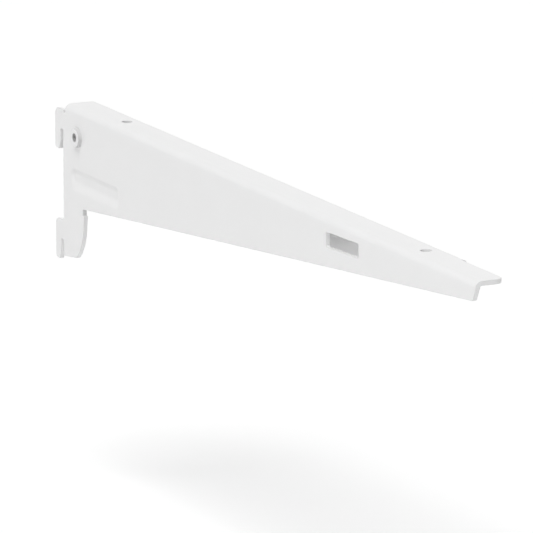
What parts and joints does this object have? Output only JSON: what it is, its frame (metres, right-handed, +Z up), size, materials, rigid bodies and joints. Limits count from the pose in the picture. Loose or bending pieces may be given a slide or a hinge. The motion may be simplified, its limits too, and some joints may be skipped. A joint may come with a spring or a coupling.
{
  "type": "shelf bracket",
  "caption": "Folded sheet-steel shelf bracket for a slotted upright: tapered web with hooks and a lug, folded flange, window and pressed boss.",
  "frame": {"origin": "centre of the bearing edge between the two hooks: the middle of the outer web's sheet, on the upright's face", "axes": "+Z up, -Y along the arm away from the wall, +X towards the inner web, under the shelf"},
  "size_m": [0.0176, 0.3952, 0.0715],
  "materials": {
    "white_powder_coat": "satin white powder coat"
  },
  "bodies": {
    "root": {"bracket": "white_powder_coat"}
  },
  "joints": []
}
